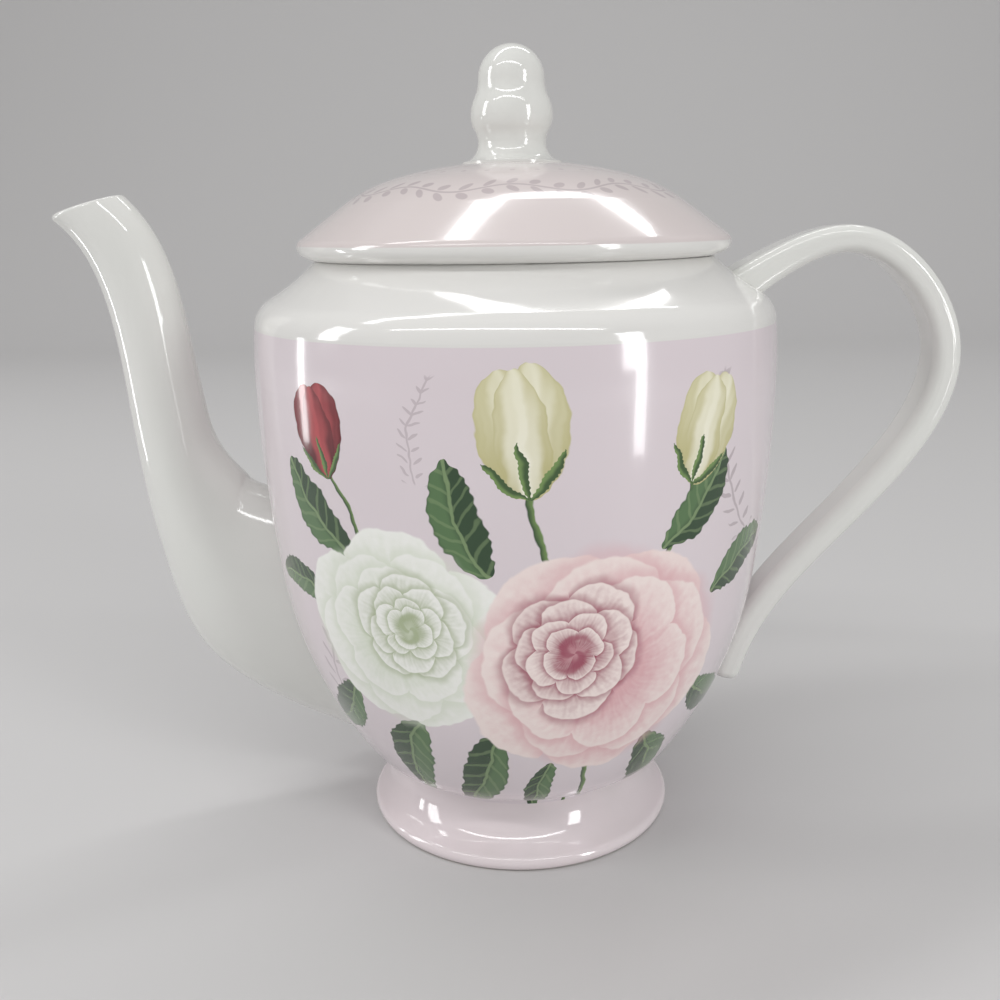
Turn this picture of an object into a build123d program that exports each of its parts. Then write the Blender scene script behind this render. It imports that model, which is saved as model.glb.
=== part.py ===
"""Footed porcelain teapot with a swan-neck spout, an ear-shaped handle and a domed lid that lifts off.

Millimetres, +Z up. The origin is on the pot's axis, in the plane that the foot stands on. The spout points
to -X and the handle to +X, and both lie in the XZ plane.
"""

import os
from math import cos, radians, sin

from build123d import *

# Foot: a hollow pedestal, stuck up under the bowl.
foot_height = 14.5
foot_waist_radius = 33.0
foot_rim_radius = 41.4
foot_bead_radius = 2.0
foot_wall = 3.2
foot_land_width = 2.4

# Bowl: the outline flows from the belly down to the foot and up to the neck, through rings that are given as
# their distances inward and up from the belly, or outward and up from the foot's waist.
bowl_wall = 3.2
belly_radius, belly_height = 66.0, 122.0
flank_rings_from_belly = ((3.6, -52.0), (13.6, -84.0))
flank_rings_from_waist = ((10.6, 8.7), (2.5, 3.1))
shoulder_rings_from_belly = ((0.65, 13.2), (4.5, 19.1))
neck_radius, neck_rise = 49.7, 28.2
neck_edge_round = 1.0
mouth_lip_width, mouth_lip_depth = 4.3, 2.4
bowl_floor_radius = 27.0

# Strainer: staggered holes through the bowl's wall behind the spout.
strainer_hole_diameter = 4.6
strainer_pitch = 7.6
strainer_rows = 6
strainer_height = 58.0

# Spout: one section per row. The underside and the throat are given as the distance out from the belly's
# radius and the height above the table, then half the breadth across.
spout_wall = 2.7
spout_lip_round = 0.9
spout_sections = (
    # underside     throat         half breadth
    ((-25.0, 17.5), (-11.0, 90.0), 18.0),
    ((-4.5, 28.2), (1.6, 91.2), 16.2),
    ((14.6, 40.2), (6.6, 94.2), 15.2),
    ((26.6, 61.0), (12.4, 101.4), 13.4),
    ((32.2, 86.5), (16.2, 114.5), 11.2),
    ((35.0, 112.0), (18.0, 128.0), 9.6),
    ((38.2, 139.0), (20.6, 144.6), 8.8),
    ((43.4, 153.4), (25.6, 158.4), 8.2),
    ((51.0, 161.6), (32.2, 166.9), 7.4),
)

# Handle: a centre line from the shoulder over the top and down to the tail, given as the distance out from
# the belly's radius and up from the neck.
handle_line = (
    (-15.0, -12.7),
    (-1.0, -3.0),
    (19.5, 2.9),
    (43.4, -22.6),
    (29.6, -57.6),
    (8.4, -81.6),
    (-9.2, -114.2),
)
handle_thickness = 7.0
handle_breadth = 13.0
handle_root_thickness, handle_root_breadth = 10.5, 19.5
handle_root_share = 0.12
handle_sections_along = (0.0, 0.08, 0.16, 0.4, 0.65, 0.85, 1.0)
handle_corner_radius = 2.7
handle_tip_round = 2.6

# Lid: it rests on the neck, and a flange inside the mouth centres it. The dome flows from the crown to the
# rim's nose, turns round it and runs in below to the land. Its rings are given as the distances in from the
# nose and down from the crown.
lid_wall = 3.0
lid_rise, lid_overhang = 22.2, 3.4
dome_rings_from_crown = ((23.1, 3.3), (11.1, 9.1))
dome_slope = (1, -0.09)
lid_nose_rise, lid_nose_depth = 4.9, 3.7
land_overhang = 0.7
flange_clearance = 1.2
flange_depth = 10.6
steam_hole_diameter = 3.0
steam_hole_radius = 26.5
steam_hole_angle = 160.0

# Knob: a hollow casting, stuck up on the crown of the lid. Heights are above the crown, and the outline flows
# from the bulb up to the round tip and down over the waist to the base.
knob_bulb_radius, knob_bulb_height = 10.1, 11.3
knob_tip_radius = 8.1
knob_lower_rings = ((9.2, 8.0), (8.4, 5.0))
knob_base_radius, knob_base_edge = 12.4, 0.5
knob_height = 27.9
knob_bore_radius, knob_bore_depth = 5.2, 20.5

os.makedirs("parts", exist_ok=True)


def flow(start, tangent, points):
    """Arcs that run on from one another through the points, from a start and its direction."""
    arcs = []
    for point in points:
        arcs.append(TangentArc(start, point, tangent=tangent))
        start, tangent = arcs[-1] @ 1, arcs[-1] % 1
    return arcs


def rings_inside(arcs, wall, side):
    """The ends of the arcs, moved by the wall to the left (1) or the right (-1) of the way they run."""
    return [arc @ 1 + (arc % 1).rotate(Axis.Z, 90 * side) * wall for arc in arcs]


def finish(part, label):
    """Names a finished piece and writes it out."""
    part.label = label
    export_step(part, f"parts/{label}.step")


# ---------------------------------------------------------------------------------------------- foot
# The skirt's hollow arc leaves the waist upright and meets the round bead at the rim without a corner.
bead_centre_radius = foot_rim_radius - foot_bead_radius
bead_reach = bead_centre_radius - foot_waist_radius
bead_drop = foot_height - foot_bead_radius
flare_radius = (bead_reach**2 + bead_drop**2 - foot_bead_radius**2) / (2 * (bead_reach + foot_bead_radius))
flare_share = flare_radius / (flare_radius + foot_bead_radius)
flare_centre_radius = foot_waist_radius + flare_radius
bead_touch = (
    flare_centre_radius - flare_share * (flare_centre_radius - bead_centre_radius),
    foot_height - flare_share * bead_drop,
)
foot_land_inside = bead_centre_radius - foot_land_width

with BuildPart() as pedestal_foot:
    with BuildSketch(Plane.XZ):
        with BuildLine():
            skirt = flow((foot_waist_radius, foot_height), (0, -1), (bead_touch, (bead_centre_radius, 0)))
            land = Line(skirt[-1] @ 1, (foot_land_inside, 0))
            hollow = TangentArc(
                (foot_waist_radius - foot_wall, foot_height), land @ 1, tangent=(0, -1)
            )
            Line(hollow @ 0, (foot_waist_radius, foot_height))
        make_face()
    revolve(axis=Axis.Z)

finish(pedestal_foot.part, "pedestal_foot")

# ---------------------------------------------------------------------------------------------- bowl
neck_height = belly_height + neck_rise
mouth_radius = neck_radius - mouth_lip_width
flank_rings = [(belly_radius - inward, belly_height + up) for inward, up in flank_rings_from_belly]
flank_rings += [(foot_waist_radius + outward, foot_height + up) for outward, up in flank_rings_from_waist]
shoulder_rings = [(belly_radius - inward, belly_height + up) for inward, up in shoulder_rings_from_belly]


def bowl_outline(top_point):
    """The outer arcs, down from the belly and up from it, and the line along the underside to the axis."""
    down = flow((belly_radius, belly_height), (0, -1), (*flank_rings, (foot_waist_radius, foot_height)))
    up = flow((belly_radius, belly_height), (0, 1), (*shoulder_rings, (neck_radius, neck_height)))
    Line(down[-1] @ 1, (0, foot_height))
    Line(up[-1] @ 1, top_point)
    return down, up


with BuildPart() as bowl_form:
    with BuildSketch(Plane.XZ):
        with BuildLine():
            bowl_outline((0, neck_height))
            Line((0, neck_height), (0, foot_height))
        make_face()
    revolve(axis=Axis.Z)

with BuildPart() as pot_body:
    with BuildSketch(Plane.XZ) as bowl_section:
        with BuildLine():
            down, up = bowl_outline((mouth_radius, neck_height))
            inner_belly = (belly_radius - bowl_wall, belly_height)
            inner_floor = (bowl_floor_radius, foot_height + bowl_wall)
            inner_down = flow(inner_belly, (0, -1), (*rings_inside(down[:-1], bowl_wall, -1), inner_floor))
            inner_up = flow(inner_belly, (0, 1), rings_inside(up[:-1], bowl_wall, 1))
            Line(inner_up[-1] @ 1, (mouth_radius, neck_height - mouth_lip_depth))
            Line((mouth_radius, neck_height - mouth_lip_depth), (mouth_radius, neck_height))
            Polyline(inner_down[-1] @ 1, (0, foot_height + bowl_wall), (0, foot_height))
        make_face()
        fillet(bowl_section.vertices().group_by(Axis.Y)[-1], neck_edge_round)
    revolve(axis=Axis.Z)
    with BuildSketch(Plane.YZ):
        for row in range(strainer_rows):
            rise = (row - (strainer_rows - 1) / 2) * strainer_pitch
            with Locations((0, strainer_height + rise)):
                with GridLocations(strainer_pitch, 0, 2 + row % 2, 1):
                    Circle(strainer_hole_diameter / 2)
    extrude(amount=-belly_radius, mode=Mode.SUBTRACT)

finish(pot_body.part, "pot_body")

# --------------------------------------------------------------------------------------------- spout
def beyond_belly(side, out, height):
    """A point in the XZ plane, out from the belly on the spout's side (-1) or the handle's side (1)."""
    return Vector(side * (belly_radius + out), 0, height)


def spout_section(row, wall=0.0):
    """One section of the spout, or of the channel that lies a wall's thickness inside it."""
    underside, throat, half_breadth = row
    depth = beyond_belly(-1, *throat) - beyond_belly(-1, *underside)
    middle = beyond_belly(-1, *underside) + depth / 2
    with BuildSketch(Plane(origin=middle, x_dir=depth, z_dir=depth.cross(Vector(0, 1, 0)))) as section:
        Ellipse(depth.length / 2 - wall, half_breadth - wall)
    return section.sketch.face()


outer_sections = [spout_section(row) for row in spout_sections]
channel_sections = [spout_section(row, spout_wall) for row in spout_sections]
spout_path = Spline([section.center() for section in outer_sections])

with BuildPart() as channel:
    sweep(channel_sections, path=spout_path, multisection=True)

with BuildPart() as spout:
    sweep(outer_sections, path=spout_path, multisection=True)
    add(channel.part, mode=Mode.SUBTRACT)
    add(bowl_form.part, mode=Mode.SUBTRACT)
    fillet(spout.faces().sort_by(Axis.Z)[-1].edges(), spout_lip_round)

finish(spout.part, "spout")

# -------------------------------------------------------------------------------------------- handle
with BuildPart() as handle:
    with BuildLine(mode=Mode.PRIVATE) as centre:
        Spline([beyond_belly(1, out, neck_height + up) for out, up in handle_line])
    path = centre.line.edge()
    for t in handle_sections_along:
        flare = max(0, 1 - t / handle_root_share)
        thickness = handle_thickness + flare * (handle_root_thickness - handle_thickness)
        breadth = handle_breadth + flare * (handle_root_breadth - handle_breadth)
        with BuildSketch(Plane(path ^ t)):
            RectangleRounded(thickness, breadth, handle_corner_radius)
    sweep(path=path, multisection=True)
    fillet(handle.faces().sort_by(Axis.Z)[0].edges(), handle_tip_round)
    add(bowl_form.part, mode=Mode.SUBTRACT)

finish(handle.part, "handle")

# ----------------------------------------------------------------------------------------------- lid
flange_radius = mouth_radius - flange_clearance
flange_foot = neck_height - flange_depth
land_radius = neck_radius + land_overhang
lid_crown_height = neck_height + lid_rise
nose_radius, nose_height = neck_radius + lid_overhang, neck_height + lid_nose_rise
dome_rings = [(nose_radius - inward, lid_crown_height - down) for inward, down in dome_rings_from_crown]
dome_rings.append((nose_radius, nose_height))

with BuildPart() as lid:
    with BuildSketch(Plane.XZ):
        with BuildLine():
            crown = Line((0, lid_crown_height), (knob_base_radius, lid_crown_height))
            dome = flow(crown @ 1, dome_slope, dome_rings)
            rim_foot = (nose_radius, nose_height - lid_nose_depth)
            rim = flow(dome[-1] @ 1, dome[-1] % 1, (rim_foot, (land_radius, neck_height)))
            inner_crown = Line(
                (0, lid_crown_height - lid_wall), (knob_base_radius, lid_crown_height - lid_wall)
            )
            inner_dome = flow(inner_crown @ 1, dome_slope, rings_inside(dome, lid_wall, -1))
            Polyline(
                inner_dome[-1] @ 1,
                (flange_radius - lid_wall, neck_height + lid_wall),
                (flange_radius - lid_wall, flange_foot),
                (flange_radius, flange_foot),
                (flange_radius, neck_height),
                rim[-1] @ 1,
            )
            Line(inner_crown @ 0, crown @ 0)
        make_face()
    revolve(axis=Axis.Z)
    steam_angle = radians(steam_hole_angle)
    with BuildSketch(Plane.XY.offset(lid_crown_height)):
        Circle(knob_bore_radius)
        with Locations((steam_hole_radius * cos(steam_angle), steam_hole_radius * sin(steam_angle))):
            Circle(steam_hole_diameter / 2)
    extrude(amount=flange_foot - lid_crown_height, mode=Mode.SUBTRACT)

finish(lid.part, "lid")

# ---------------------------------------------------------------------------------------------- knob
bulb = Vector(knob_bulb_radius, knob_bulb_height)
tip_edge = Vector(knob_tip_radius, knob_height - knob_tip_radius)

with BuildPart() as lid_knob:
    with BuildSketch(Plane(origin=(0, 0, lid_crown_height), x_dir=(1, 0, 0), z_dir=(0, -1, 0))):
        with BuildLine():
            tip = flow(bulb, (0, 1), ((bulb + tip_edge) / 2, tip_edge, (0, knob_height)))
            base = flow(bulb, (0, -1), (*knob_lower_rings, (knob_base_radius, knob_base_edge)))
            Polyline(
                base[-1] @ 1,
                (knob_base_radius, 0),
                (knob_bore_radius, 0),
                (knob_bore_radius, knob_bore_depth),
                (0, knob_bore_depth),
                tip[-1] @ 1,
            )
        make_face()
    revolve(axis=Axis.Z)

finish(lid_knob.part, "lid_knob")
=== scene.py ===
"""Looks of a footed porcelain teapot: its glazes, the flower print on the bowl and the garland on the lid."""

from math import cos, radians, sin, tau

import bpy
from mathutils import Matrix, Vector


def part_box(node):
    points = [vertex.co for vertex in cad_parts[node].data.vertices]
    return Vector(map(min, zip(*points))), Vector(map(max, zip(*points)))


bl_info = {
    "name": "Porcelain teapot",
    "version": (1, 0, 0),
    "blender": (4, 5, 0),
    "location": "View3D > Sidebar > Teapot",
    "description": "Glazes and prints a teapot on its packed frame, and sets it out under soft lamps",
    "category": "Material",
}

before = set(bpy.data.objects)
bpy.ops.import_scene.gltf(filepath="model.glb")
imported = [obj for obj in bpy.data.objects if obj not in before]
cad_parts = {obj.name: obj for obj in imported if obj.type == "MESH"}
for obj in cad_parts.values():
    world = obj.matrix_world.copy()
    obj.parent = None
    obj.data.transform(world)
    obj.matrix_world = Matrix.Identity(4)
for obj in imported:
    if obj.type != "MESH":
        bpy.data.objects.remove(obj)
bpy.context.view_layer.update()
MM = 0.001

# Where the prints lie, from the boxes of the bowl and the lid.
BOWL_TOP, BOWL_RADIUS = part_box("pot_body")[1][2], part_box("pot_body")[1][0]
LID_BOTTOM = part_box("lid")[0][2]
SHOULDER_HEIGHT = 15.6 * MM
PRINT_UNDER_BELLY = 4.0 * MM
LID_RIM_HEIGHT = 14.0 * MM


# ------------------------------------------------------------------------------------------ sizes and colours
def linear(red, green, blue):
    """A display colour, 0 to 255 a channel, as the linear values that the shaders take."""
    channels = [c / 255 for c in (red, green, blue)]
    return tuple(c / 12.92 if c <= 0.04045 else ((c + 0.055) / 1.055) ** 2.4 for c in channels)


def colour_property(name, description, default):
    return bpy.props.FloatVectorProperty(
        name=name, description=description, default=default, subtype="COLOR", min=0, max=1
    )


class TeapotSizes(bpy.types.PropertyGroup):
    """Where the prints lie"""

    print_top: bpy.props.FloatProperty(
        name="Print top",
        description="Height at which the tinted ground of the print ends under the shoulder",
        default=BOWL_TOP - SHOULDER_HEIGHT,
        subtype="DISTANCE",
        unit="LENGTH",
    )
    print_scale: bpy.props.FloatProperty(
        name="Print radius",
        description="Radius of the cylinder that the flat print is wrapped on",
        default=BOWL_RADIUS - PRINT_UNDER_BELLY,
        subtype="DISTANCE",
        unit="LENGTH",
    )
    lid_print_edge: bpy.props.FloatProperty(
        name="Lid print edge",
        description="Height at which the lid's tint ends above its white rim",
        default=LID_BOTTOM + LID_RIM_HEIGHT,
        subtype="DISTANCE",
        unit="LENGTH",
    )


class TeapotColours(bpy.types.PropertyGroup):
    """The glaze and the grounds of the prints"""

    white: colour_property("White", "The bare glaze", linear(230, 229, 226))
    ground: colour_property("Ground", "The tinted ground of the bowl's print", linear(223, 212, 217))
    foot_ground: colour_property("Foot", "The tinted ground of the foot's print", linear(226, 215, 217))
    lid_ground: colour_property("Lid", "The tinted ground of the lid's print", linear(219, 209, 207))
    sprig: colour_property("Sprig", "The faint sprigs and the garland", linear(168, 154, 160))


# ----------------------------------------------------------------------------------------------------- pieces
def start_piece(name, adder, **settings):
    """Adds a primitive with nothing else selected, and names it."""
    bpy.ops.object.select_all(action="DESELECT")
    adder(**settings)
    piece = bpy.context.object
    piece.name = piece.data.name = name
    return piece


def dress(node, finish):
    """Gives a node of the frame its finish through its material slots."""
    for slot in bpy.data.objects[node].material_slots:
        slot.material = bpy.data.materials[finish]


# ----------------------------------------------------------------------------------------------- shader maths
class Value:
    """A socket that can be reckoned with: each operator adds a Math node."""

    def __init__(self, tree, socket):
        self.tree, self.socket = tree, socket

    def _math(self, operation, *others):
        return self.tree.node("ShaderNodeMath", {"operation": operation}, (self, *others))

    def __add__(self, other):
        return self._math("ADD", other)

    __radd__ = __add__

    def __sub__(self, other):
        return self._math("SUBTRACT", other)

    def __rsub__(self, other):
        return self.tree.node("ShaderNodeMath", {"operation": "SUBTRACT"}, (other, self))

    def __mul__(self, other):
        return self._math("MULTIPLY", other)

    __rmul__ = __mul__

    def __truediv__(self, other):
        return self._math("DIVIDE", other)

    def __pow__(self, other):
        return self._math("POWER", other)

    def __abs__(self):
        return self._math("ABSOLUTE")

    def times_plus(self, factor, addend):
        return self._math("MULTIPLY_ADD", factor, addend)

    def sin(self):
        return self._math("SINE")

    def root(self):
        return self._math("SQRT")

    def fraction(self):
        return self._math("FRACT")

    def floor(self):
        return self._math("FLOOR")

    def modulo(self, other):
        return self._math("FLOORED_MODULO", other)

    def chance(self):
        """A number from 0 to 1 that stays the same for the same value."""
        return self.tree.node("ShaderNodeTexWhiteNoise", {"noise_dimensions": "1D"}, {"W": self})

    def at_least(self, other):
        return self._math("MAXIMUM", other)

    def at_most(self, other):
        return self._math("MINIMUM", other)

    def step(self, low, high):
        """0 up to low and 1 from high, with a smooth run between. With high below low it falls instead."""
        settings = {"interpolation_type": "SMOOTHSTEP"}
        if high >= low:
            return self.tree.node("ShaderNodeMapRange", settings, (self, low, high, 0.0, 1.0))
        return self.tree.node("ShaderNodeMapRange", settings, (self, high, low, 1.0, 0.0))


class Tree:
    """A tree of shader nodes under construction."""

    def __init__(self, own):
        self.own = own

    def node(self, kind, settings=None, inputs=(), output=0):
        """Adds a node, sets it up, fills its sockets in order or by name, and returns one of its outputs."""
        node = self.own.nodes.new(kind)
        for key, value in (settings or {}).items():
            setattr(node, key, value)
        pairs = inputs.items() if isinstance(inputs, dict) else enumerate(inputs)
        for key, value in pairs:
            socket = node.inputs[key]
            if isinstance(value, Value):
                self.own.links.new(value.socket, socket)
            else:
                socket.default_value = (*value, 1.0) if socket.type == "RGBA" and len(value) == 3 else value
        return Value(self, node.outputs[output])

    def mix(self, factor, low, high):
        """A blend of two colours."""
        return self.node("ShaderNodeMix", {"data_type": "RGBA"}, {0: factor, 6: low, 7: high}, output=2)

    def level(self, x, y):
        """A level vector from two numbers."""
        return self.node("ShaderNodeCombineXYZ", None, (x, y))

    def angle(self, y, x):
        """The angle, in radians, from the X axis to the point (x, y)."""
        return self.node("ShaderNodeMath", {"operation": "ARCTAN2"}, (y, x))

    def place(self):
        """The piece's own coordinates in millimetres, as one vector and as three numbers."""
        coordinates = self.node("ShaderNodeTexCoord", output="Object")
        scaled = self.node(
            "ShaderNodeVectorMath", {"operation": "SCALE"}, {0: coordinates, "Scale": 1 / MM}
        )
        return scaled, [self.node("ShaderNodeSeparateXYZ", None, (scaled,), output=i) for i in range(3)]

    def noise(self, where, scale, detail=2.0, output="Fac"):
        inputs = {"Vector": where, "Scale": scale, "Detail": detail}
        return self.node("ShaderNodeTexNoise", None, inputs, output=output)


# The glaze: how it bends light, its clear coat, its gloss and how that drifts, and the waves in its surface.
GLAZE_IOR = 1.5
COAT_WEIGHT, COAT_ROUGHNESS = 0.35, 0.03
GLOSS, GLOSS_DRIFT, PRINT_DULLNESS, CLAY_DULLNESS = 0.07, 0.05, 0.035, 0.6
WAVE_STRENGTH, WAVE_DEPTH = 0.22, 0.7 * MM


class Glaze(Tree):
    """A glazed material under construction."""

    def __init__(self, name):
        self.material = bpy.data.materials.new(name)
        self.material.use_nodes = True
        super().__init__(self.material.node_tree)
        self.own.nodes.clear()

    def close(self, colour, where, rougher=None):
        """The glaze itself: glassy, with faint waves in its surface, over the given colour."""
        shader = self.own.nodes.new("ShaderNodeBsdfPrincipled")
        shader.inputs["IOR"].default_value = GLAZE_IOR
        shader.inputs["Coat Weight"].default_value = COAT_WEIGHT
        shader.inputs["Coat Roughness"].default_value = COAT_ROUGHNESS
        self.own.links.new(colour.socket, shader.inputs["Base Color"])
        roughness = self.noise(where, 0.09, 3.0) * GLOSS_DRIFT + GLOSS
        if rougher is not None:
            roughness = roughness + rougher
        self.own.links.new(roughness.socket, shader.inputs["Roughness"])
        waves = {"Strength": WAVE_STRENGTH, "Distance": WAVE_DEPTH, "Height": self.noise(where, 0.045, 1.0)}
        bump = self.node("ShaderNodeBump", None, waves)
        self.own.links.new(bump.socket, shader.inputs["Normal"])
        self.end(shader)

    def end(self, shader):
        ending = self.own.nodes.new("ShaderNodeOutputMaterial")
        self.own.links.new(shader.outputs[0], ending.inputs[0])


SOCKETS = {"RGBA": "NodeSocketColor", "VALUE": "NodeSocketFloat", "VECTOR": "NodeSocketVector"}
TRACE = 1e-7


def grouped(paint):
    """Has a motif painted over what is under it, in a node group of its own, which keeps every tree short.

    A trace of the colour beneath is added to each of the motif's values, so that they are worked out only
    after what the motif lies on. A shader has room for few values at a time, and this print would overrun it.
    """

    def painted(tree, *given):
        group = Tree(bpy.data.node_groups.new(paint.__name__, "ShaderNodeTree"))
        values = [value for value in given if isinstance(value, Value)]
        sockets = group.own.interface
        for i, value in enumerate(values):
            sockets.new_socket(f"In {i}", in_out="INPUT", socket_type=SOCKETS[value.socket.type])
        start = group.own.nodes.new("NodeGroupInput")
        under, *others = (Value(group, output) for output in start.outputs[:-1])
        after = under * TRACE
        entries = iter((under, *(value + after for value in others)))
        result = paint(group, *(next(entries) if isinstance(g, Value) else g for g in given))
        sockets.new_socket("Out", in_out="OUTPUT", socket_type=SOCKETS[result.socket.type])
        ending = group.own.nodes.new("NodeGroupOutput")
        group.own.links.new(result.socket, ending.inputs[0])
        return tree.node("ShaderNodeGroup", {"node_tree": group.own}, values)

    return painted


# -------------------------------------------------------------------------------------------------- the print
# What each ground, and the white, drifts towards.
BOWL_DRIFT, LID_DRIFT, FOOT_DRIFT = (232, 224, 228), (226, 217, 218), (233, 225, 229)
WHITE_DRIFT = (225, 227, 222)
CLAY = (208, 199, 186)

# The colours of the spray, each with its dark, middle and light.
PINK = ((158, 76, 96), (225, 178, 183), (247, 232, 228))
PALE = ((170, 182, 146), (221, 228, 211), (247, 248, 243))
CREAM = ((194, 188, 136), (236, 232, 200), (249, 247, 230))
RED = ((92, 14, 26), (150, 34, 46), (196, 84, 88))
LEAF = ((42, 70, 42), (86, 118, 76), (134, 158, 112))
SEPAL = ((60, 88, 48), (116, 146, 84))

# The spray, in millimetres: across from the middle of the flank, and up from the table.
LEAVES = (
    # base, heading, length, breadth, bend
    ((-37, 88), 132, 27, 0.36, 0.3),
    ((-48, 76), 176, 22, 0.34, -0.3),
    ((-44, 54), 220, 27, 0.36, 0.3),
    ((-26, 48), 250, 31, 0.38, -0.3),
    ((-6, 46), 244, 32, 0.36, 0.3),
    ((9, 36), 262, 24, 0.34, -0.3),
    ((36, 40), 298, 32, 0.38, 0.3),
    ((48, 52), 336, 26, 0.36, -0.3),
    ((48, 76), 22, 26, 0.36, 0.3),
    ((32, 90), 52, 26, 0.34, -0.3),
    ((-6, 86), 108, 27, 0.36, 0.3),
)
STEMS = (
    # lower end, upper end, bow, half width
    ((20, 12), (16, 40), 3.0, 1.0),
    ((-34, 84), (-42, 107), 2.5, 0.8),
    ((9, 86), (3, 105), -2.0, 0.9),
    ((30, 84), (38, 105), 2.0, 0.8),
)
SPRIGS = (
    # base, heading, length, strength
    ((-52, 44), 66, 46, 0.5),
    ((60, 88), 108, 42, 0.6),
    ((-20, 106), 80, 24, 0.45),
)
BUDS = (
    # base, heading, length, colours
    ((-42, 105), 101, 20, RED),
    ((3, 103), 97, 27, CREAM),
    ((38, 103), 74, 24, CREAM),
)
BUD_PETALS = ((-0.13, 0.29, 0.1), (0.13, 0.28, 0.25), (0.02, 0.23, 0.0))  # lean, breadth, shade
SEPAL_LEANS, SEPAL_LENGTH, SEPAL_BREADTH = (-38, 4, 42), 0.48, 0.13
BLOOMS = (
    # centre, radius, heart off the centre in shares of the radius, colours, turn of the petals
    ((-28, 70), 26.5, (0.14, 0.1), PALE, 0.6),
    ((20, 62), 33.5, (-0.24, 0.16), PINK, 0.0),
)
OUTER_RINGS = (
    # size, petals, depth of the notches between them, shadow on the ring below
    (1.0, 5, 0.16, 0.0),
    (0.86, 5, 0.18, 0.5),
    (0.7, 5, 0.2, 0.6),
)
HEART_RINGS = ((0.52, 5, 0.2), (0.42, 5, 0.22), (0.32, 5, 0.24), (0.22, 4, 0.26))
HEART_SHADOW = 0.55
WOBBLE = 3.2  # how far the drawn lines stray, in millimetres

# The garland and the row of dots on the lid, in millimetres from its axis.
GARLAND_RADIUS, GARLAND_SWAYS, GARLAND_LEAVES = 38.0, 9, 46
BEAD_RADIUS, BEADS = 27.0, 30


def polar(glaze, u, v, centre, radius):
    """Distance, in shares of the radius, and angle about a centre."""
    x, y = (u - centre[0]) * (1 / radius), (v - centre[1]) * (1 / radius)
    return (x * x + y * y).root(), glaze.angle(y, x)


@grouped
def petal_ring(glaze, under, reach, angle, grain, size, petals, turned, depth, shadow, shades):
    """One ring of overlapping petals, laid over what is under it. No two petals are the same."""
    cell = angle.times_plus(petals / tau, petals + turned)
    index = cell.floor()
    across = abs(cell - index - 0.5) * 2.0
    chance = (index.modulo(petals) + turned * 7.3).chance()
    full = chance.times_plus(0.13 * size, 0.9 * size)
    share = reach / (across**2.6).times_plus(-depth * size, full)
    if shadow:
        under = glaze.mix(share.step(1.16, 0.98) * shadow, under, linear(*shades[0]))
    crease = across.step(0.8, 1.0) * share.step(0.3, 0.9)
    streaks = (angle * 37.0 + reach * 9.0).sin() + (angle * 61.0 - reach * 14.0).sin()
    body = share.step(0.35, 1.0).times_plus(0.85, chance * 0.25 - 0.1)
    body = body + streaks * 0.04 + (grain - 0.5) * 0.6
    light = (body - crease * 0.4).at_least(0.0).at_most(1.0)
    tone = glaze.mix(light, linear(*shades[0]), linear(*shades[2]))
    tone = glaze.mix(share.step(0.55, 0.0) * 0.5, tone, linear(*shades[1]))
    tone = glaze.mix(share.step(0.9, 0.975) * 0.6, tone, linear(*shades[2]))
    return glaze.mix(share.step(1.0, 0.975), under, tone)


@grouped
def bloom(glaze, under, u, v, grain, centre, radius, heart, shades, turned):
    """A full, many-petalled flower, with its heart set off its centre."""
    dark, middle, light = shades
    soft = (middle, middle, light)
    outer = polar(glaze, u, v, centre, radius)
    for size, petals, depth, shadow in OUTER_RINGS:
        turn = turned + size * 3.7
        under = petal_ring(glaze, under, *outer, grain, size, petals, turn, depth, shadow, soft)
    inner = polar(glaze, u, v, (centre[0] + heart[0] * radius, centre[1] + heart[1] * radius), radius)
    for size, petals, depth in HEART_RINGS:
        turn = turned + size * 5.1
        under = petal_ring(glaze, under, *inner, grain, size, petals, turn, depth, HEART_SHADOW, shades)
    curl = inner[1].times_plus(2.0, inner[0] * 40.0).sin()
    return glaze.mix(inner[0].step(0.17, 0.12) * curl.step(-0.3, 0.9) * 0.8, under, linear(*dark))


def along(u, v, base, heading, length):
    """How far along a line from a base, and how far to its left, in shares of its length."""
    c, s = cos(radians(heading)) / length, sin(radians(heading)) / length
    du, dv = u - base[0], v - base[1]
    return (du * c).times_plus(1.0, dv * s), (dv * c).times_plus(1.0, du * -s)


def blade(u, v, base, heading, length, breadth, bend):
    """Places across a pointed blade: along it, to its left, and in shares of its half breadth."""
    run, off = along(u, v, base, heading, length)
    hump = (run * (1 - run)).at_least(0.0)
    off = off - hump * bend
    half = (hump**0.68) * (breadth * 1.5) + (run * 70.0).sin() * 0.007
    return run, off, abs(off) / half.at_least(0.0005), hump.step(0.0002, 0.004)


@grouped
def leaf(glaze, under, u, v, base, heading, length, breadth, bend):
    """A pointed leaf with a toothed edge, a midrib and side veins."""
    run, off, share, there = blade(u, v, base, heading, length, breadth, bend)
    veins = ((run - abs(off) * 0.8) * 44.0).sin().step(0.55, 0.95)
    tone = glaze.mix(off.step(-0.03, 0.06), linear(*LEAF[0]), linear(*LEAF[1]))
    tone = glaze.mix((veins * 0.4).at_least(abs(off).step(0.02, 0.008) * 0.8), tone, linear(*LEAF[2]))
    tone = glaze.mix(share.step(0.8, 1.0) * 0.5, tone, linear(*LEAF[0]))
    return glaze.mix(share.step(1.0, 0.93) * there, under, tone)


@grouped
def sepal(glaze, under, u, v, base, heading, length, bend):
    """A narrow green blade at the foot of a bud."""
    _, off, share, there = blade(u, v, base, heading, length, SEPAL_BREADTH, bend)
    tone = glaze.mix(off.step(-0.03, 0.04), linear(*SEPAL[0]), linear(*SEPAL[1]))
    return glaze.mix(share.step(1.0, 0.9) * there, under, tone)


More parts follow.
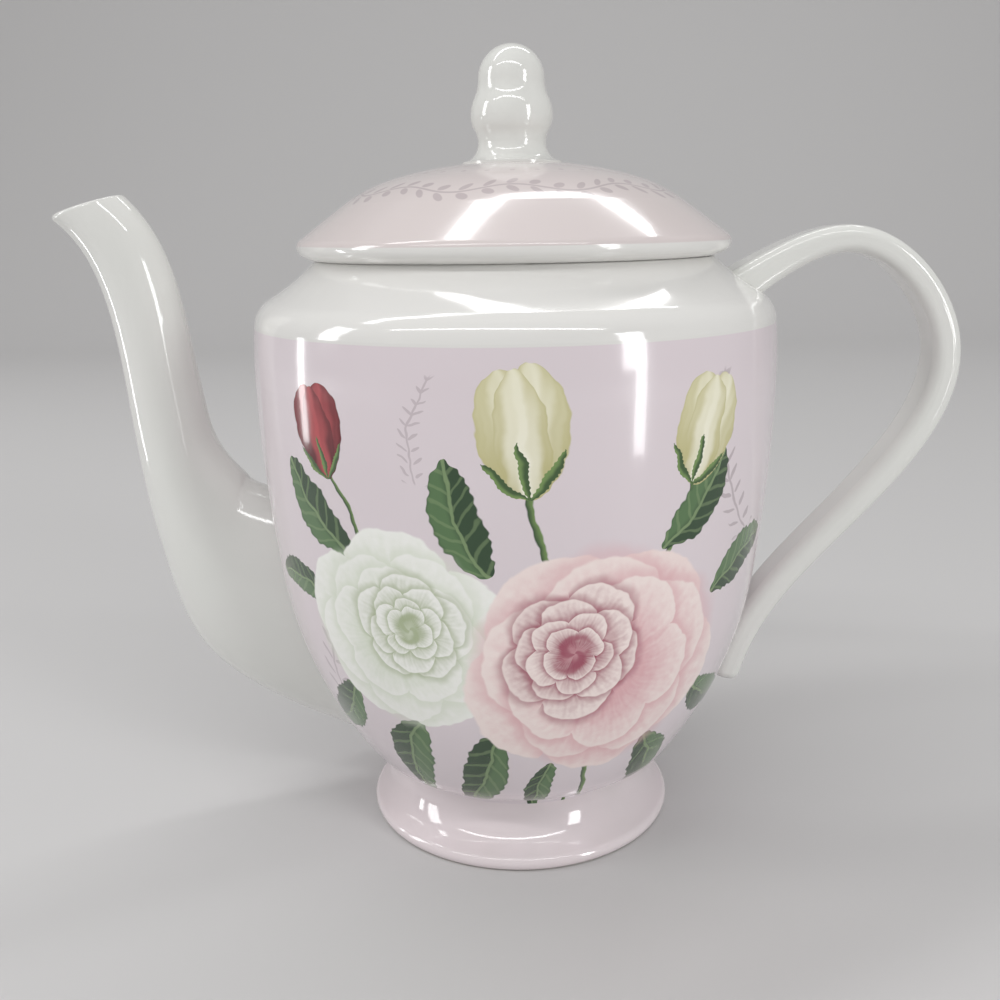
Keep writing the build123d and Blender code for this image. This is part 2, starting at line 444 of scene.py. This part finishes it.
@grouped
def stem(glaze, under, u, v, lower, upper, bow, width):
    """A bowed stem from its lower end to its upper end."""
    share = (v - lower[1]) * (1 / (upper[1] - lower[1]))
    line = share * (upper[0] - lower[0]) + lower[0] + (share * (1 - share)) * (4 * bow)
    mask = abs(u - line).step(width, width * 0.6) * share.step(-0.01, 0.01) * share.step(1.01, 0.99)
    lit = glaze.mix((u - line).step(-width, width), linear(*LEAF[0]), linear(*SEPAL[1]))
    return glaze.mix(mask, under, lit)


@grouped
def bud(glaze, under, u, v, base, heading, length, shades):
    """A closed bud: two outer petals, one in front, and three pointed sepals at its foot."""
    run, off = along(u, v, base, heading, length)
    for lean, breadth, shade in BUD_PETALS:
        hump = (run * (1.0 + abs(lean) * 0.3 - run)).at_least(0.0001)
        off_line = off - run * lean
        share = abs(off_line) / ((hump**0.55) * (breadth * 2.0)).at_least(0.001)
        streaks = (off_line * 60.0 + run * 4.0).sin() * 0.12
        body = (share.step(1.0, 0.05) + streaks - shade).at_least(0.0).at_most(1.0)
        tone = glaze.mix(body, linear(*shades[0]), linear(*shades[2]))
        tone = glaze.mix(run.step(0.05, 0.9) * 0.45, tone, linear(*shades[1]))
        tone = glaze.mix(share.step(0.84, 0.99) * 0.55, tone, linear(*shades[0]))
        under = glaze.mix(share.step(1.0, 0.95) * hump.step(0.0002, 0.006), under, tone)
    for lean in SEPAL_LEANS:
        under = sepal(glaze, under, u, v, base, heading + lean, length * SEPAL_LENGTH, lean * 0.006)
    return under


@grouped
def sprig(glaze, under, u, v, base, heading, length, strength, colour):
    """A faint sprig: small paired leaves along a bent line."""
    run, off = along(u, v, base, heading, length)
    off = off - (run * (1 - run)) * 0.5
    cell = (run * 9.0 - abs(off) * 6.0).fraction() - 0.5
    leaves = ((cell * 0.42) ** 2.0 + (abs(off) - (1.05 - run) * 0.08) ** 2.0 * 1.6).root()
    mask = leaves.step(0.062, 0.05).at_least(abs(off).step(0.012, 0.006))
    mask = mask * run.step(0.0, 0.03) * run.step(1.0, 0.95) * abs(off).step(0.2, 0.17)
    return glaze.mix(mask * strength, under, colour)


def outwards(glaze, x, y):
    """1 where the surface faces away from the pot's axis, 0 where it faces the axis."""
    normal = glaze.node("ShaderNodeNewGeometry", output="Normal")
    pair = (normal, glaze.level(x, y))
    facing = glaze.node("ShaderNodeVectorMath", {"operation": "DOT_PRODUCT"}, pair, output="Value")
    return facing.step(0.0, 4.0)


def bowl_print(glaze, sizes, colours):
    """The bowl's colour: a tinted ground with the same spray of flowers on each flank."""
    where, (x, y, z) = glaze.place()
    turned = glaze.angle(x, abs(y))
    wobble = glaze.noise(where, 0.16, 2.0, output="Color")
    drift = glaze.node("ShaderNodeSeparateColor", None, (wobble,), output=0)
    lift = glaze.node("ShaderNodeSeparateColor", None, (wobble,), output=1)
    u = turned * (sizes.print_scale / MM) + drift * WOBBLE - WOBBLE / 2
    v = z + lift * WOBBLE - WOBBLE / 2
    grain = glaze.noise(where, 0.55, 3.0)
    art = glaze.mix(glaze.noise(where, 0.03) * 0.5, tuple(colours.ground), linear(*BOWL_DRIFT))
    for base, heading, length, strength in SPRIGS:
        art = sprig(glaze, art, u, v, base, heading, length, strength, tuple(colours.sprig))
    for lower, upper, bow, width in STEMS:
        art = stem(glaze, art, u, v, lower, upper, bow, width)
    for base, heading, length, breadth, bend in LEAVES:
        art = leaf(glaze, art, u, v, base, heading, length, breadth, bend)
    for base, heading, length, shades in BUDS:
        art = bud(glaze, art, u, v, base, heading, length, shades)
    for centre, radius, heart, shades, turned in BLOOMS:
        art = bloom(glaze, art, u, v, grain, centre, radius, heart, shades, turned)
    top = sizes.print_top / MM
    mask = z.step(top + 0.15, top - 0.15) * outwards(glaze, x, y)
    return glaze.mix(mask, tuple(colours.white), art), where, mask


def lid_print(glaze, sizes, colours):
    """The lid's colour: a tinted top with a faint garland, inside a white edge."""
    where, (x, y, z) = glaze.place()
    spoke = (glaze.level(x, y),)
    out = glaze.node("ShaderNodeVectorMath", {"operation": "LENGTH"}, spoke, output="Value")
    angle = glaze.angle(y, x)
    art = glaze.mix(glaze.noise(where, 0.03) * 0.5, tuple(colours.lid_ground), linear(*LID_DRIFT))
    off = out - GARLAND_RADIUS - (angle * GARLAND_SWAYS).sin() * 1.4
    tilt = ((angle * (GARLAND_LEAVES / tau) + 50.0).fraction() - 0.5) * 5.2
    leaves = ((abs(off) - 1.7 - tilt * 0.5) ** 2.0 * 1.2 + (tilt * 0.8) ** 2.0).root()
    garland = leaves.step(1.25, 0.95).at_least(abs(off).step(0.36, 0.2))
    art = glaze.mix(garland * 0.5, art, tuple(colours.sprig))
    bead = (angle * (BEADS / tau) + 50.0).fraction() * 5.6 - 2.8
    dots = ((out - BEAD_RADIUS) ** 2.0 + bead**2.0).root()
    art = glaze.mix(dots.step(0.75, 0.55) * 0.35, art, tuple(colours.sprig))
    edge = sizes.lid_print_edge / MM
    normal = glaze.node("ShaderNodeNewGeometry", output="Normal")
    upwards = glaze.node("ShaderNodeSeparateXYZ", None, (normal,), output=2).step(-0.3, 0.0)
    mask = z.step(edge, edge + 0.3) * upwards
    return glaze.mix(mask, tuple(colours.white), art), where, mask


def foot_print(glaze, colours):
    """The foot's colour: a tinted ground outside, and bare clay on the land that it stands on."""
    where, (x, y, z) = glaze.place()
    art = glaze.mix(glaze.noise(where, 0.04) * 0.5, tuple(colours.foot_ground), linear(*FOOT_DRIFT))
    art = glaze.mix(outwards(glaze, x, y), tuple(colours.white), art)
    clay = z.step(0.5, 0.15)
    return glaze.mix(clay, art, linear(*CLAY)), where, clay


def make_finishes(sizes, colours):
    """The four finishes, made once and shared by the pieces."""
    bare = Glaze("white_glaze")
    where, _ = bare.place()
    bare.close(bare.mix(bare.noise(where, 0.025), tuple(colours.white), linear(*WHITE_DRIFT)), where)
    bowl = Glaze("bowl_print")
    art, where, mask = bowl_print(bowl, sizes, colours)
    bowl.close(art, where, rougher=mask * PRINT_DULLNESS)
    lid = Glaze("lid_print")
    art, where, mask = lid_print(lid, sizes, colours)
    lid.close(art, where, rougher=mask * PRINT_DULLNESS)
    foot = Glaze("foot_print")
    art, where, clay = foot_print(foot, colours)
    foot.close(art, where, rougher=clay * CLAY_DULLNESS)


# -------------------------------------------------------------------------------------------------- operators
class TEAPOT_OT_finishes(bpy.types.Operator):
    """Make the glazes and the print"""

    bl_idname = "teapot.finishes"
    bl_label = "Glazes and print"

    def execute(self, context):
        make_finishes(context.scene.teapot_sizes, context.scene.teapot_colours)
        return {"FINISHED"}


class TEAPOT_OT_pot(bpy.types.Operator):
    """Put the print on the bowl and the foot"""

    bl_idname = "teapot.pot"
    bl_label = "Bowl and foot"

    def execute(self, context):
        dress("pot_body", "bowl_print")
        dress("pedestal_foot", "foot_print")
        return {"FINISHED"}


class TEAPOT_OT_lid(bpy.types.Operator):
    """Put the print on the lid and the white glaze on its knob"""

    bl_idname = "teapot.lid"
    bl_label = "Lid and knob"

    def execute(self, context):
        dress("lid", "lid_print")
        dress("lid_knob", "white_glaze")
        return {"FINISHED"}


class TEAPOT_OT_arms(bpy.types.Operator):
    """Put the white glaze on the spout and the handle"""

    bl_idname = "teapot.arms"
    bl_label = "Spout and handle"

    def execute(self, context):
        dress("spout", "white_glaze")
        dress("handle", "white_glaze")
        return {"FINISHED"}


FLOOR_SIZE, FLOOR_SHIFT, WALL_HEIGHT, COVE = 3.2, 0.2, 2.2, 0.7
FLOOR_COLOUR, FLOOR_ROUGHNESS = (205, 204, 204), 0.7
ROOM_COLOUR, ROOM_STRENGTH = (0.83, 0.825, 0.82), 0.46
LAMPS = (
    # name, place, width, height, power. The two glints stand close by and show only in the gloss.
    ("lamp_front", (-0.15, -0.95, 1.35), 2.4, 0.09, 8.0),
    ("lamp_left", (-1.5, -0.2, 0.6), 0.3, 0.9, 6.5),
    ("lamp_right", (1.05, -0.95, 0.42), 0.25, 0.7, 5.5),
    ("lamp_top", (-0.25, 0.5, 1.7), 2.8, 0.15, 10.0),
    ("glint_left", (-0.4, 0.02, 0.09), 0.03, 0.12, 0.1),
    ("glint_right", (0.265, -0.245, 0.09), 0.03, 0.12, 0.1),
)
LAMP_AIM = Vector((0, 0, 0.09))
CAMERA_PLACE = (0, -0.2731, 0.1584)
CAMERA_SENSOR, CAMERA_LENS = 36.0, 37.8
CAMERA_PITCH, CAMERA_YAW, CAMERA_ROLL = radians(14.78), radians(0.944), radians(-0.99)


class TEAPOT_OT_stage(bpy.types.Operator):
    """Set out the floor, the lamps and the camera"""

    bl_idname = "teapot.stage"
    bl_label = "Stage"

    def execute(self, context):
        self.add_floor()
        for lamp in LAMPS:
            self.add_lamp(*lamp)
        self.light_room(context.scene)
        self.add_camera(context.scene)
        context.scene.view_settings.view_transform = "Standard"
        return {"FINISHED"}

    def add_floor(self):
        """A sheet of paper that sweeps up behind the pot."""
        floor = start_piece(
            "floor", bpy.ops.mesh.primitive_plane_add, size=FLOOR_SIZE, location=(0, FLOOR_SHIFT, 0)
        )
        bpy.ops.object.transform_apply(location=True)
        bpy.ops.object.mode_set(mode="EDIT")
        bpy.ops.mesh.select_all(action="DESELECT")
        bpy.ops.object.mode_set(mode="OBJECT")
        back = max(v.co.y for v in floor.data.vertices)
        for edge in floor.data.edges:
            edge.select = all(abs(floor.data.vertices[i].co.y - back) < MM for i in edge.vertices)
        bpy.ops.object.mode_set(mode="EDIT")
        bpy.ops.mesh.select_mode(type="EDGE")
        bpy.ops.mesh.extrude_region_move(TRANSFORM_OT_translate={"value": (0, 0, WALL_HEIGHT)})
        bpy.ops.mesh.select_all(action="DESELECT")
        bpy.ops.object.mode_set(mode="OBJECT")
        for edge in floor.data.edges:
            ends = [floor.data.vertices[i].co for i in edge.vertices]
            edge.select = all(abs(end.y - back) < MM and abs(end.z) < MM for end in ends)
        bpy.ops.object.mode_set(mode="EDIT")
        bpy.ops.mesh.bevel(offset=COVE, segments=24)
        bpy.ops.object.mode_set(mode="OBJECT")
        bpy.ops.object.shade_smooth()
        paper = Glaze("floor_paper")
        shader = paper.own.nodes.new("ShaderNodeBsdfPrincipled")
        shader.inputs["Base Color"].default_value = (*linear(*FLOOR_COLOUR), 1)
        shader.inputs["Roughness"].default_value = FLOOR_ROUGHNESS
        paper.end(shader)
        floor.data.materials.append(paper.material)

    def add_lamp(self, name, place, width, height, power):
        """A soft lamp, turned to the pot."""
        bpy.ops.object.light_add(type="AREA", location=place)
        lamp = bpy.context.object
        lamp.name = name
        lamp.data.shape, lamp.data.size, lamp.data.size_y = "RECTANGLE", width, height
        lamp.data.energy = power
        lamp.visible_camera = False
        lamp.visible_diffuse = not name.startswith("glint")
        lamp.rotation_euler = (LAMP_AIM - Vector(place)).to_track_quat("-Z", "Y").to_euler()

    def light_room(self, scene):
        """An even light from all round."""
        scene.world = bpy.data.worlds.new("room")
        scene.world.use_nodes = True
        background = scene.world.node_tree.nodes["Background"]
        background.inputs["Color"].default_value = (*ROOM_COLOUR, 1)
        background.inputs["Strength"].default_value = ROOM_STRENGTH

    def add_camera(self, scene):
        """A camera in front of the pot and a little above it, tipped slightly to one side."""
        bpy.ops.object.camera_add()
        camera = bpy.context.object
        camera.data.sensor_width, camera.data.lens = CAMERA_SENSOR, CAMERA_LENS
        camera.data.clip_start = 0.01
        right = Vector((cos(CAMERA_YAW), sin(CAMERA_YAW), 0))
        level = Vector((-sin(CAMERA_YAW), cos(CAMERA_YAW), 0))
        ahead = level * cos(CAMERA_PITCH) - Vector((0, 0, sin(CAMERA_PITCH)))
        up = level * sin(CAMERA_PITCH) + Vector((0, 0, cos(CAMERA_PITCH)))
        across = right * cos(CAMERA_ROLL) + up * sin(CAMERA_ROLL)
        upward = up * cos(CAMERA_ROLL) - right * sin(CAMERA_ROLL)
        turned = Matrix((across, upward, -ahead)).transposed().to_4x4()
        camera.matrix_world = Matrix.Translation(CAMERA_PLACE) @ turned
        scene.camera = camera


class TEAPOT_PT_panel(bpy.types.Panel):
    bl_label = "Teapot"
    bl_space_type = "VIEW_3D"
    bl_region_type = "UI"
    bl_category = "Teapot"

    def draw(self, context):
        for group in (context.scene.teapot_sizes, context.scene.teapot_colours):
            for name in group.__annotations__:
                self.layout.prop(group, name)
        for operator in OPERATORS:
            self.layout.operator(operator.bl_idname)


OPERATORS = (TEAPOT_OT_finishes, TEAPOT_OT_pot, TEAPOT_OT_lid, TEAPOT_OT_arms, TEAPOT_OT_stage)
CLASSES = (TeapotSizes, TeapotColours, *OPERATORS, TEAPOT_PT_panel)


def register():
    for part in CLASSES:
        bpy.utils.register_class(part)
    bpy.types.Scene.teapot_sizes = bpy.props.PointerProperty(type=TeapotSizes)
    bpy.types.Scene.teapot_colours = bpy.props.PointerProperty(type=TeapotColours)


def unregister():
    del bpy.types.Scene.teapot_colours
    del bpy.types.Scene.teapot_sizes
    for part in reversed(CLASSES):
        bpy.utils.unregister_class(part)


def main():
    register()
    bpy.ops.teapot.finishes()
    bpy.ops.teapot.pot()
    bpy.ops.teapot.lid()
    bpy.ops.teapot.arms()
    bpy.ops.teapot.stage()


if __name__ == "__main__":
    main()
